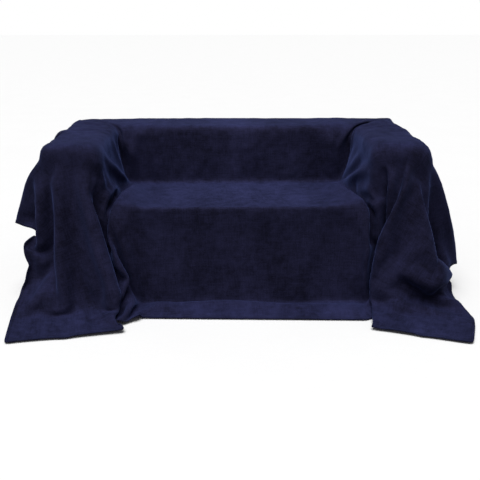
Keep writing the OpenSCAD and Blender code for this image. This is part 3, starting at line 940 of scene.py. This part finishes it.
    def _arrange(self, flat: np.ndarray) -> tuple[np.ndarray, np.ndarray]:
        """Works out which points are held, how firmly and where.

        Args:
            flat: the flat cloth's points.

        Returns:
            The grip at each point, and the place it is led to.
        """
        s = self.sofa
        across, along = flat[:, 0], flat[:, 1]
        grip, goal = np.zeros(len(flat)), flat.copy()
        rows = np.unique(np.round(along, 4))
        crease_row = s.crease - (s.top - s.seat_top)
        front_row = crease_row - (s.crease - s.front) - 0.01
        floor_row, hem_row = -1.235, rows[0]

        def hold_row(at: float, limits: tuple[float, float], place: object) -> None:
            """Holds one row of the cloth between two limits."""
            row = rows[np.argmin(abs(rows - at))]
            chosen = (abs(along - row) < 1e-3) & (across > limits[0]) & (across < limits[1])
            grip[chosen] = 1.0
            goal[chosen] = np.array([place(x) for x in across[chosen]])

        hold_row(crease_row, (-0.60, 0.60), lambda x: (x, s.crease - 0.012, s.seat_top + 0.012))
        hold_row(front_row, (-0.62, 0.62), lambda x: (x, s.front - 0.008, s.seat_top + 0.006))
        hold_row(s.crease, (-0.50, 0.50), lambda x: (x, s.crease - 0.006, s.top + 0.012))
        hold_row(floor_row, (-0.50, 0.62), lambda x: (x * 0.985, s.front - 0.065, 0.008))
        hold_row(hem_row, (-0.50, 0.62), lambda x: (x * 0.97, s.front - 0.23 - 0.04 * x, 0.008))

        skirt = (across > -0.50) & (across < 0.54) & (along > floor_row) & (along < front_row) & (grip == 0)
        down = (front_row - along[skirt]) / (front_row - floor_row)
        wave = 0.004 * np.sin(across[skirt] * 9 + 2 * down) * down
        grip[skirt] = 0.85
        goal[skirt, 0] = across[skirt] * (1 - 0.015 * down)
        goal[skirt, 1] = s.front - 0.008 - 0.057 * down**1.5 + wave
        goal[skirt, 2] = s.seat_top + 0.006 - (s.seat_top - 0.002) * down

        for patch in self.patches:
            patch.lay(flat, grip, goal)
        for point in self.points:
            nearest = np.argmin((across - point.across) ** 2 + (along - point.along) ** 2)
            grip[nearest], goal[nearest] = point.grip, point.place
        for fold in self.folds:
            self._hold_fold(fold, flat, grip, goal)
        return grip, goal

    def _hold_fold(self, fold: HeldFold, flat: np.ndarray, grip: np.ndarray, goal: np.ndarray) -> None:
        """Holds the points nearest to one fold.

        Args:
            fold: the fold to hold.
            flat: the flat cloth's points.
            grip: the grips, changed in place.
            goal: the goals, changed in place.
        """
        line = np.array(fold.line)
        reach = np.r_[0.0, np.cumsum(np.linalg.norm(np.diff(line, axis=0), axis=1))]
        reach /= reach[-1]
        start, end = np.array(fold.start), np.array(fold.end)
        steps = round(float(np.linalg.norm(end - start)) / self.cell) + 1
        for share in np.linspace(0.0, 1.0, steps):
            nearest = np.argmin(np.linalg.norm(flat[:, :2] - start - (end - start) * share, axis=1))
            if grip[nearest] < fold.grip:
                grip[nearest] = fold.grip
                goal[nearest] = [np.interp(share, reach, line[:, k]) for k in range(3)]

    def _drape(self, cloth: bpy.types.Object, frames: int) -> None:
        """Lets the cloth fall over the sofa while the held points are led home.

        Args:
            cloth: the flat cloth, changed in place.
            frames: how many frames it falls for.
        """
        stand = self._stand()
        flat = Workshop.positions(cloth.data)
        grip, goal = self._arrange(flat)
        held = cloth.vertex_groups.new(name="held")
        for index in np.nonzero(grip)[0]:
            held.add([int(index)], float(grip[index]), "REPLACE")
        cloth.shape_key_add(name="flat")
        hands = cloth.shape_key_add(name="hands")
        hands.data.foreach_set("co", goal.ravel())
        for frame, value in ((1, 0.0), (6, 0.0), (round(frames * 0.48), 1.0)):
            hands.value = value
            hands.keyframe_insert("value", frame=frame)
        fall = cloth.modifiers.new("fall", "CLOTH")
        s, c = fall.settings, fall.collision_settings
        s.quality, s.mass, s.air_damping = 7, 0.3, 2.0
        s.tension_stiffness = s.compression_stiffness = 40.0
        s.shear_stiffness, s.bending_stiffness = 20.0, 1.2
        s.tension_damping = s.compression_damping = 10.0
        s.shear_damping, s.bending_damping = 8.0, 1.0
        s.vertex_group_mass, s.pin_stiffness = "held", 1.0
        c.collision_quality, c.distance_min = 3, 0.006
        c.use_self_collision, c.self_distance_min, c.self_friction = True, 0.008, 3.0
        scene = bpy.context.scene
        scene.frame_start, scene.frame_end = 1, frames
        fall.point_cache.frame_start, fall.point_cache.frame_end = 1, frames + 5
        for frame in range(1, frames + 1):
            scene.frame_set(frame)
        graph = bpy.context.evaluated_depsgraph_get()
        fallen = Workshop.positions(cloth.evaluated_get(graph).to_mesh())
        cloth.modifiers.clear()
        cloth.vertex_groups.clear()
        cloth.shape_key_clear()
        if cloth.data.shape_keys is None and cloth.data.animation_data:
            cloth.data.animation_data_clear()
        cloth.data.vertices.foreach_set("co", fallen.ravel())
        cloth.data.update()
        scene.frame_set(1)
        for shape in stand:
            bpy.data.objects.remove(shape)
        LOG.info("the cloth fell to %s .. %s", fallen.min(0).round(3), fallen.max(0).round(3))

    def _press(self, cloth: bpy.types.Object) -> None:
        """Flattens folds that stand up on the tops, and eases single rough points.

        Args:
            cloth: the fallen cloth, changed in place.
        """
        soft = bmesh.new()
        soft.from_mesh(cloth.data)
        bmesh.ops.smooth_vert(soft, verts=[v for v in soft.verts if not v.is_boundary], factor=0.35, use_axis_x=True, use_axis_y=True, use_axis_z=True)
        soft.to_mesh(cloth.data)
        soft.free()
        points = Workshop.positions(cloth.data)
        above = points[:, 2] - (self.sofa.top + 0.008)
        proud = above > 0
        points[proud, 2] = self.sofa.top + 0.008 + self.pressed * np.tanh(above[proud] / self.pressed)
        points[:, 2] = np.maximum(points[:, 2], 0.005)
        cloth.data.vertices.foreach_set("co", points.ravel())
        cloth.data.update()

    def _clear(self, cloth: bpy.types.Object) -> None:
        """Moves the cloth out of the sofa wherever rounding took it too near.

        Args:
            cloth: the rounded cloth, changed in place.
        """
        points = Workshop.positions(cloth.data)
        for _ in range(3):
            for _, low, high, radius, _ in self._stand_shapes():
                centre, half = (np.array(low) + np.array(high)) / 2, (np.array(high) - np.array(low)) / 2
                away = points - centre
                past = np.abs(away) - (half - radius)
                outside = np.maximum(past, 0.0)
                reach = np.linalg.norm(outside, axis=1)
                deepest = past.max(axis=1)
                distance = reach + np.minimum(deepest, 0.0) - radius
                way = np.where(
                    reach[:, None] > 1e-6, outside / np.maximum(reach, 1e-6)[:, None], past == deepest[:, None],
                ) * np.sign(away)
                points += way * np.maximum(0.0, self.clearance - distance)[:, None] * (distance > -0.06)[:, None]
        cloth.data.vertices.foreach_set("co", points.ravel())
        cloth.data.update()

    def _wrinkle(self, cloth: bpy.types.Object) -> None:
        """Adds the small soft wrinkles that the coarse fall leaves out.

        Args:
            cloth: the rounded cloth, changed in place.
        """
        mesh = cloth.data
        for vert in mesh.vertices:
            p = vert.co
            broad = noise.noise(Vector((p.x * 8.0, p.y * 8.0, p.z * 5.0)))
            slanted = p.x * 0.6 + p.z * 0.8
            ridged = 1.0 - abs(noise.noise(Vector((slanted * 9.0, p.y * 14.0 + 4.0, (p.z - p.x) * 24.0)))) * 2.4
            creased = max(0.0, ridged - 0.5) * max(0.0, 0.5 + 1.5 * broad)
            upright = 1.0 - abs(vert.normal.z)
            rise = (0.0018 + 0.0026 * upright) * broad + (0.0042 * upright + 0.0012) * creased
            on_floor = min(1.0, max(0.0, (p.z - 0.006) / 0.03))
            below_top = min(1.0, max(0.0, (self.sofa.top + 0.032 - p.z) / 0.01))
            vert.co = p + vert.normal * (rise * on_floor * below_top)
        mesh.update()

    @staticmethod
    def _hem(cloth: bpy.types.Object, cell: float) -> bpy.types.Object:
        """Copies the cloth's outermost faces for the turned hem.

        Args:
            cloth: the rounded cloth.
            cell: the size of a mesh cell before rounding; not used.

        Returns:
            The hem, before it gets its thickness.
        """
        band = bmesh.new()
        band.from_mesh(cloth.data)
        inner = [f for f in band.faces if not any(e.is_boundary for e in f.edges)]
        bmesh.ops.delete(band, geom=inner, context="FACES")
        return Workshop.keep(band, "throw_hem")

    def _hem_stitches(self, cloth: bpy.types.Object, cell: float) -> bpy.types.Object:
        """Sews one row of stitches along the hem's inner edge.

        Args:
            cloth: the rounded cloth.
            cell: the size of a mesh cell before rounding; not used.

        Returns:
            The stitches.
        """
        body = bmesh.new()
        body.from_mesh(cloth.data)
        ring = {v for f in body.faces if any(e.is_boundary for e in f.edges) for v in f.verts if not v.is_boundary}
        start = min(ring, key=lambda v: (v.co.y, v.co.x))
        line, last, here = [start], None, start
        while True:
            ways = [e.other_vert(here) for e in here.link_edges]
            ways = [v for v in ways if v in ring and v is not last and (v not in line[-3:])]
            fresh = [v for v in ways if v is start and len(line) > 4] or [v for v in ways if v is not start]
            if not fresh or fresh[0] is start:
                break
            last, here = here, fresh[0]
            line.append(here)
            if len(line) > len(ring):
                break
        places, ups = [], []
        pitch = 0.006
        left = 0.0
        for a, b in zip(line, line[1:] + line[:1]):
            run = (b.co - a.co).length
            while left < run:
                share = left / run
                up = a.normal.lerp(b.normal, share).normalized()
                places.append(a.co.lerp(b.co, share) + up * (self.thickness * 1.35))
                ups.append(up)
                left += pitch
            left -= run
        body.free()
        return Workshop.stitches("throw_hem_stitches", places, ups, 0.0042, 0.0007)


# --------------------------------------------------------------------- upholstery


@dataclass
class Cushion:
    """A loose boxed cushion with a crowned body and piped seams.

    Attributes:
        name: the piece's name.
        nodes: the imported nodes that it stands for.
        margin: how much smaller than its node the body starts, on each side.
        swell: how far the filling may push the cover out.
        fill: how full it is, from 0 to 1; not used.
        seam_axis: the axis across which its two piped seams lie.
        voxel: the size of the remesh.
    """

    name: str
    nodes: tuple[str, ...]
    margin: Point
    swell: float
    fill: float
    seam_axis: int
    voxel: float = 0.014

    def build(self) -> None:
        """Makes the cushion and its piping, and hands them to the frame."""
        low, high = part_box(self.nodes[0])
        low = Vector([low[k] + self.margin[k] for k in range(3)])
        high = Vector([high[k] - self.margin[k] for k in range(3)])
        body = Workshop.keep(Workshop.rounded_block(low, high, 0.03, 3), self.name)
        remesh = body.modifiers.new("even", "REMESH")
        remesh.mode, remesh.voxel_size = "VOXEL", self.voxel
        Workshop.apply_modifiers(body)
        self._fill_out(body)
        self._keep_inside(body)
        body.modifiers.new("rounding", "SUBSURF").levels = 1
        body.modifiers["rounding"].render_levels = 1
        Workshop.apply_modifiers(body)
        Wardrobe.dress(body, OATMEAL)
        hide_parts(*self.nodes)
        pieces = [body, *self._piping(body, low, high)]
        for piece in pieces:
            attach(piece, "sofa")
        LOG.info("cushion %s has %d faces", self.name, len(body.data.polygons))

    def _fill_out(self, body: bpy.types.Object) -> None:
        """Blows the cover up a little, as its filling does.

        Args:
            body: the cushion, changed in place.
        """
        start = Workshop.positions(body.data)
        puff = body.modifiers.new("puff", "CLOTH")
        puff.settings.quality = 5
        puff.settings.use_pressure = True
        puff.settings.uniform_pressure_force = 4.0
        puff.settings.tension_stiffness = puff.settings.compression_stiffness = 30.0
        puff.settings.effector_weights.gravity = 0.0
        scene = bpy.context.scene
        puff.point_cache.frame_start, puff.point_cache.frame_end = 1, 14
        for frame in range(1, 13):
            scene.frame_set(frame)
        graph = bpy.context.evaluated_depsgraph_get()
        end = Workshop.positions(body.evaluated_get(graph).to_mesh())
        body.modifiers.clear()
        scene.frame_set(1)
        move = end - start
        size = np.linalg.norm(move, axis=1, keepdims=True)
        move *= np.minimum(1.0, self.swell / np.maximum(size, 1e-9))
        body.data.vertices.foreach_set("co", (start + move).ravel())
        body.data.update()

    def _keep_inside(self, body: bpy.types.Object) -> None:
        """Presses the cover back inside the space that its node holds.

        Args:
            body: the cushion, changed in place.
        """
        low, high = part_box(self.nodes[0])
        points = Workshop.positions(body.data)
        points = np.minimum(np.maximum(points, np.array(low) + 0.001), np.array(high) - 0.001)
        body.data.vertices.foreach_set("co", points.ravel())
        body.data.update()

    def _piping(self, body: bpy.types.Object, low: Vector, high: Vector) -> list[bpy.types.Object]:
        """Lays piping round the cushion at both ends of its seam axis.

        Args:
            body: the finished cushion.
            low: the lowest corner of its core.
            high: the highest corner of its core.

        Returns:
            The two pipings.
        """
        tree = BVHTree.FromPolygons([v.co.copy() for v in body.data.vertices], [tuple(p.vertices) for p in body.data.polygons])
        axis = self.seam_axis
        first, second = [k for k in range(3) if k != axis]
        made = []
        for end, level in (("lower", low[axis] + 0.016), ("upper", high[axis] - 0.016)):
            path = []
            for step in range(220):
                angle = step / 220 * math.tau
                cos, sin = math.cos(angle), math.sin(angle)
                power = 0.16
                out = Vector((0.0, 0.0, 0.0))
                out[axis] = level
                for k, value in ((first, cos), (second, sin)):
                    half = (high[k] - low[k]) / 2 + 0.05
                    middle = (high[k] + low[k]) / 2
                    out[k] = middle + half * math.copysign(abs(value) ** power, value)
                centre = Vector([(low[k] + high[k]) / 2 for k in range(3)])
                centre[axis] = level
                hit, _, _, _ = tree.ray_cast(out, (centre - out).normalized())
                if hit:
                    path.append(hit)
            made.append(Workshop.tube(f"{self.name}_piping_{end}", path, 0.0035, closed=True))
            Wardrobe.dress(made[-1], OATMEAL_PIPING)
        return made


@dataclass
class FixedCover:
    """Tight upholstery over a part of the frame, slightly crowned, with a piped front.

    Attributes:
        name: the piece's name.
        nodes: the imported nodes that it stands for.
        round_edges: the radius of its long upper edges.
        crown: how far its faces stand out from their edges.
        piped: whether its front and rear panels are piped.
    """

    name: str
    nodes: tuple[str, ...]
    round_edges: float
    crown: float = 0.005
    piped: bool = True

    def build(self) -> None:
        """Makes the cover and hands it to the frame."""
        boxes = [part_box(node) for node in self.nodes]
        low = Vector([min(box[0][k] for box in boxes) for k in range(3)])
        high = Vector([max(box[1][k] for box in boxes) for k in range(3)])
        body = Workshop.keep(self._shape(low, high), self.name)
        Wardrobe.dress(body, OATMEAL)
        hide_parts(*self.nodes)
        pieces = [body]
        if self.piped:
            for end, y in (("front", low.y + 0.010), ("rear", high.y - 0.010)):
                pieces.append(self._piping(end, low, high, y))
        for piece in pieces:
            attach(piece, "sofa")
        LOG.info("cover %s has %d faces", self.name, len(body.data.polygons))

    def _shape(self, low: Vector, high: Vector) -> bmesh.types.BMesh:
        """Shapes the cover: a rounded block with crowned faces.

        Args:
            low: the lowest corner of its space.
            high: the highest corner of its space.

        Returns:
            The shaped bmesh.
        """
        block = Workshop.rounded_block(low, high, self.round_edges)
        Workshop.cut_into_cells(block, low, high, 0.03)
        centre, half = (low + high) / 2, (high - low) / 2
        for vert in block.verts:
            p = vert.co - centre
            share = [min(1.0, abs(p[k]) / half[k]) for k in range(3)]
            for k in range(3):
                if share[k] > 0.999:
                    a, b = [j for j in range(3) if j != k]
                    bulge = (1 - share[a] ** 4) * (1 - share[b] ** 4)
                    p[k] -= math.copysign(self.crown * (1 - bulge), p[k])
            ripple = noise.noise((p + centre) * 9.0) * 0.0008
            vert.co = p * (1 - abs(ripple)) + centre
        return block

    def _piping(self, end: str, low: Vector, high: Vector, y: float) -> bpy.types.Object:
        """Lays piping up one side, over the top and down the other.

        Args:
            end: front or rear.
            low: the lowest corner of the cover.
            high: the highest corner of the cover.
            y: where it lies along the sofa.

        Returns:
            The piping.
        """
        inset, radius = 0.011, self.round_edges - 0.011
        left, right, top = low.x + inset, high.x - inset, high.z - inset
        path = [Vector((left, y, low.z + 0.004 + (top - radius - low.z) * k / 30)) for k in range(30)]
        for k in range(9):
            angle = math.pi - k / 8 * math.pi / 2
            path.append(Vector((left + radius + radius * math.cos(angle), y, top - radius + radius * math.sin(angle))))
        for k in range(9):
            angle = math.pi / 2 - k / 8 * math.pi / 2
            path.append(Vector((right - radius + radius * math.cos(angle), y, top - radius + radius * math.sin(angle))))
        path += [Vector((right, y, low.z + 0.004 + (top - radius - low.z) * (29 - k) / 30)) for k in range(30)]
        piping = Workshop.tube(f"{self.name}_piping_{end}", path, 0.0035, closed=False)
        Wardrobe.dress(piping, OATMEAL_PIPING)
        return piping


@dataclass
class InnerFrame:
    """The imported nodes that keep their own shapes, each with its finish."""

    finishes: dict[str, Finish] = field(default_factory=lambda: {
        "timber": SOFTWOOD,
        "plywood": PLYWOOD,
        "hardboard": HARDBOARD,
        "spring_steel": SPRING_STEEL,
        "zinc_steel": ZINC,
        "felt": FELT,
        "black_cloth": BONDED_CLOTH,
        "webbing": STRAP,
        "foam": FOAM,
        "fibre_filling": FOAM,
        "upholstery": OATMEAL,
        "foot_wood": STAINED_WOOD,
        "glide_plastic": GLIDE,
        "suede": SUEDE,
    })

    def build(self, frame: dict) -> None:
        """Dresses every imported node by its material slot.
        """
        for entry in frame["record"]["subparts"]:
            node = frame["nodes"].get(entry["node"])
            if node is not None:
                Wardrobe.dress(node, self.finishes[entry["material_slot"]])
        LOG.info("dressed %d packed nodes", len(frame["nodes"]))


# --------------------------------------------------------------------- studio


@dataclass
class Studio:
    """Floor, lights and camera.

    Attributes:
        eye: where the camera stands.
        pitch: how far it looks down, in degrees.
        yaw: how far it looks to the left, in radians.
        lens: its focal length in millimetres on a 36 mm sensor.
        top_light: strength of the broad overhead light.
        air: strength of the light that comes from all round.
    """

    eye: Point = (-0.05, -3.37, 1.323)
    pitch: float = 18.97
    yaw: float = -0.022
    lens: float = 48.0
    top_light: float = 2.85
    air: float = 0.17

    def build(self) -> None:
        """Sets the whole studio up."""
        self._camera()
        self._floor()
        self._overhead()
        self._lamp("front_left", (-2.8, -3.4, 2.6), (0.0, 0.0, 0.4), 2.4, 5.0)
        self._seat_lamp((0.0, -1.1, 2.6), (0.0, 0.06, 0.44), 90.0)
        world = bpy.data.worlds.new("studio_air")
        bpy.context.scene.world = world
        world.use_nodes = True
        graph = Graph(world.node_tree)
        seen = graph.add("LightPath").outputs["Is Camera Ray"]
        strength = graph.spread(seen, 0.0, 1.0, self.air, 1.0)
        air = graph.add("Background", in_Color=(1.0, 1.0, 1.0, 1.0), in_Strength=strength)
        graph.add("OutputWorld", in_Surface=air.outputs[0])
        bpy.context.scene.view_settings.view_transform = "Standard"
        LOG.info("studio ready")

    def _camera(self) -> None:
        """Places the camera."""
        data = bpy.data.cameras.new("camera")
        data.sensor_width = 36.0
        data.lens = self.lens
        camera = bpy.data.objects.new("camera", data)
        pitch = math.radians(self.pitch)
        look = Vector((
            -math.sin(self.yaw) * math.cos(pitch), math.cos(self.yaw) * math.cos(pitch), -math.sin(pitch),
        ))
        camera.location = self.eye
        camera.rotation_euler = look.to_track_quat("-Z", "Y").to_euler()
        bpy.context.scene.collection.objects.link(camera)
        bpy.context.scene.camera = camera

    @staticmethod
    def _floor() -> None:
        """Lays a wide plain pale floor, which doesn't throw its own light up at the cloth."""
        sheet = bmesh.new()
        bmesh.ops.create_grid(sheet, x_segments=40, y_segments=40, size=60.0)
        floor = Workshop.keep(sheet, "floor")
        floor.visible_diffuse = False
        Wardrobe.dress(floor, PALE_FLOOR)

    def _overhead(self) -> None:
        """Hangs the broad overhead light, a little to the front left."""
        data = bpy.data.lights.new("overhead", "SUN")
        data.energy, data.angle = self.top_light, math.radians(45.0)
        lamp = bpy.data.objects.new("overhead", data)
        lamp.location = (-0.35, -0.85, 4.0)
        lamp.rotation_euler = (Vector((0.0, 0.0, 0.3)) - lamp.location).to_track_quat("-Z", "Y").to_euler()
        bpy.context.scene.collection.objects.link(lamp)

    @staticmethod
    def _seat_lamp(place: Point, aim: Point, power: float) -> None:
        """Hangs a soft spot lamp that lifts the seat.

        Args:
            place: where it hangs.
            aim: where it points.
            power: its power in watts.
        """
        data = bpy.data.lights.new("seat_lamp", "SPOT")
        data.energy, data.spot_size, data.spot_blend, data.shadow_soft_size = power, math.radians(36.0), 1.0, 0.3
        lamp = bpy.data.objects.new("seat_lamp", data)
        lamp.location = place
        lamp.rotation_euler = (Vector(aim) - Vector(place)).to_track_quat("-Z", "Y").to_euler()
        bpy.context.scene.collection.objects.link(lamp)

    @staticmethod
    def _lamp(name: str, place: Point, aim: Point, size: float, power: float) -> None:
        """Hangs one soft area lamp.

        Args:
            name: the lamp's name.
            place: where it hangs.
            aim: where it points.
            size: its width.
            power: its power in watts.
        """
        data = bpy.data.lights.new(name, "AREA")
        data.energy, data.size = power, size
        lamp = bpy.data.objects.new(name, data)
        lamp.location = place
        lamp.rotation_euler = (Vector(aim) - Vector(place)).to_track_quat("-Z", "Y").to_euler()
        bpy.context.scene.collection.objects.link(lamp)


# --------------------------------------------------------------------- build


def upholstery() -> Iterable[Cushion | FixedCover]:
    """Lists the sofa's soft pieces.

    Returns:
        The pieces in the order they are made.
    """
    return (
        Cushion("seat_cushion", ("seat_cushion_cover", "seat_cushion_foam"), (0.012, 0.012, 0.010), 0.010, 0.85, 2),
        Cushion("back_cushion", ("back_cushion_cover", "back_cushion_filling"), (0.014, 0.018, 0.014), 0.016, 0.65, 1),
        FixedCover("left_arm_upholstery", ("left_arm_cover", "left_arm_padding"), 0.034),
        FixedCover("right_arm_upholstery", ("right_arm_cover", "right_arm_padding"), 0.034),
        FixedCover("back_upholstery", ("back_cover", "back_padding"), 0.030, piped=False),
        FixedCover("base_front_upholstery", ("base_front_cover", "base_front_padding"), 0.006, crown=0.0004, piped=False),
    )


def main() -> None:
    """Builds the dressed sofa in order."""
    logging.basicConfig(level=logging.INFO, format="%(name)s: %(message)s")
    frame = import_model()
    Studio().build()
    InnerFrame().build(frame)
    for piece in upholstery():
        piece.build()
    ThrowCover(SofaSpace.from_frame()).build()


if __name__ == "__main__":
    main()
